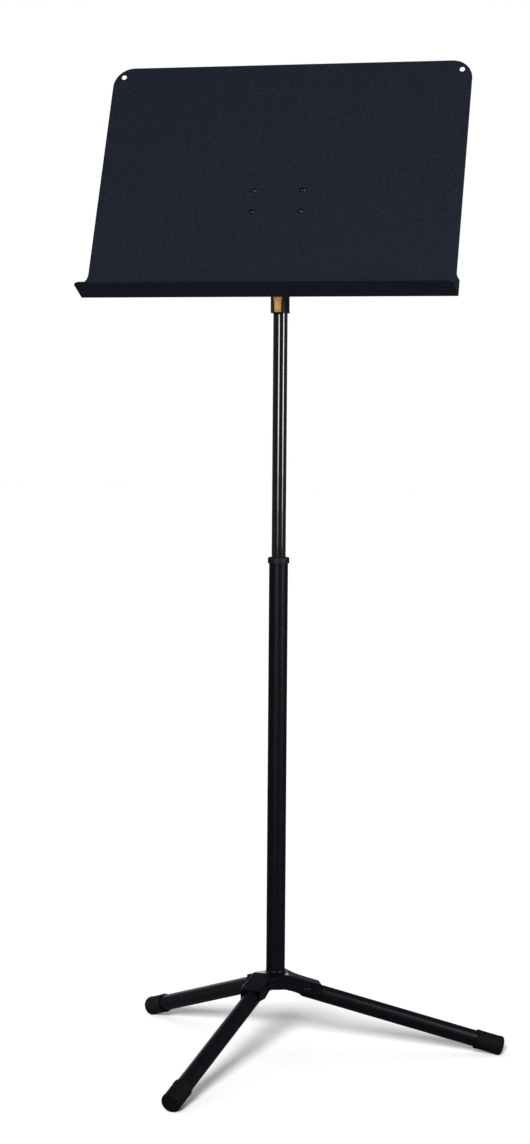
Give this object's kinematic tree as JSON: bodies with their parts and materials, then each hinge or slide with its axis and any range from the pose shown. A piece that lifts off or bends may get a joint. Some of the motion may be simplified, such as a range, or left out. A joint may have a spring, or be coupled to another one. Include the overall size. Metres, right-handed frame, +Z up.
{
  "type": "music stand",
  "caption": "Orchestra music stand: one-piece bent sheet desk on a tilt hinge, telescopic mast with a squeeze-lever height clutch, and folding tube legs on a pressed hub.",
  "frame": {"origin": "middle of the bounding box at floor level; the mast stands 24.6 mm towards -X and 45.6 mm towards +Y of it", "axes": "+Z up along the mast, -Y towards the reader (the desk's face looks to -Y and up), +X to the reader's right"},
  "size_m": [0.552, 0.5249, 1.3407],
  "materials": {
    "textured_paint": "dark slate-blue powder coat with a fine texture, matt",
    "satin_paint": "black paint, satin",
    "gloss_paint": "black paint, gloss",
    "black_plastic": "black moulded plastic, matt",
    "amber_plastic": "amber moulded plastic, satin",
    "black_rubber": "black rubber, matt",
    "white_nylon": "natural nylon, satin",
    "zinc_steel": "zinc-plated steel"
  },
  "bodies": {
    "base": {"hub_spider": "satin_paint", "lower_tube": "satin_paint", "tube_plug": "black_plastic", "height_collar": "black_plastic", "leg_pin_front": "satin_paint", "leg_pin_right": "satin_paint", "leg_pin_left": "satin_paint"},
    "leg_front": {"leg_tube_front": "satin_paint", "foot_cap_front": "black_rubber", "leg_bush_front": "white_nylon"},
    "leg_right": {"leg_tube_right": "satin_paint", "foot_cap_right": "black_rubber", "leg_bush_right": "white_nylon"},
    "leg_left": {"leg_tube_left": "satin_paint", "foot_cap_left": "black_rubber", "leg_bush_left": "white_nylon"},
    "clutch_sleeve": {"expander_sleeve": "white_nylon"},
    "mast": {"upper_tube": "gloss_paint", "mast_guide": "white_nylon", "rod_guide": "white_nylon", "clutch_spring": "zinc_steel", "clutch_housing": "black_plastic", "trigger_pin": "zinc_steel", "tilt_knuckle": "satin_paint", "friction_washer_left": "white_nylon", "friction_washer_right": "white_nylon"},
    "trigger": {"trigger_lever": "amber_plastic"},
    "clutch_rod": {"pull_rod": "zinc_steel", "expander_cone": "zinc_steel", "cone_nut": "zinc_steel", "rod_stop": "zinc_steel"},
    "desk": {"desk_tray": "textured_paint", "desk_bracket": "satin_paint", "desk_screw_upper_left": "satin_paint", "desk_screw_upper_right": "satin_paint", "desk_screw_lower_left": "satin_paint", "desk_screw_lower_right": "satin_paint", "desk_nut_upper_left": "zinc_steel", "desk_nut_upper_right": "zinc_steel", "desk_nut_lower_left": "zinc_steel", "desk_nut_lower_right": "zinc_steel", "tilt_bolt": "zinc_steel", "tilt_washer": "zinc_steel", "tilt_nut": "zinc_steel"}
  },
  "joints": [
    {"name": "mast_height", "type": "slide", "parent": "base", "child": "clutch_sleeve", "axis": [0, 0, 1], "range_m": [-0.315, 0.12]},
    {"name": "mast_swivel", "type": "hinge", "parent": "clutch_sleeve", "child": "mast", "pos_m": [-0.0246, 0.0456, 0.46], "axis": [0, 0, 1], "continuous": true},
    {"name": "trigger_squeeze", "type": "hinge", "parent": "mast", "child": "trigger", "pos_m": [-0.0246, 0.0321, 1.0078], "axis": [-1, 0, 0], "range_deg": [0, 10]},
    {"name": "rod_slide", "type": "slide", "parent": "mast", "child": "clutch_rod", "axis": [0, 0, -1], "range_m": [0, 0.0022], "stiffness_N_per_m": 2500, "springref_m": -0.006, "deforming": ["clutch_spring"]},
    {"name": "desk_tilt", "type": "hinge", "parent": "mast", "child": "desk", "pos_m": [-0.0246, 0.0456, 1.1402], "axis": [-1, 0, 0], "range_deg": [-18, 62]},
    {"name": "leg_fold_front", "type": "hinge", "parent": "base", "child": "leg_front", "pos_m": [-0.04217, 0.00806, 0.09637], "axis": [0.9851, -0.1719, 0], "range_deg": [0, 72]},
    {"name": "leg_fold_right", "type": "hinge", "parent": "base", "child": "leg_right", "pos_m": [0.01669, 0.04916, 0.09637], "axis": [-0.3437, 0.9391, 0], "range_deg": [0, 72]},
    {"name": "leg_fold_left", "type": "hinge", "parent": "base", "child": "leg_left", "pos_m": [-0.04833, 0.07958, 0.09637], "axis": [-0.6414, -0.7672, 0], "range_deg": [0, 72]}
  ],
  "couplings": [
    {"joint": "trigger_squeeze", "follows": "rod_slide", "rad_per_m": 78.125}
  ]
}
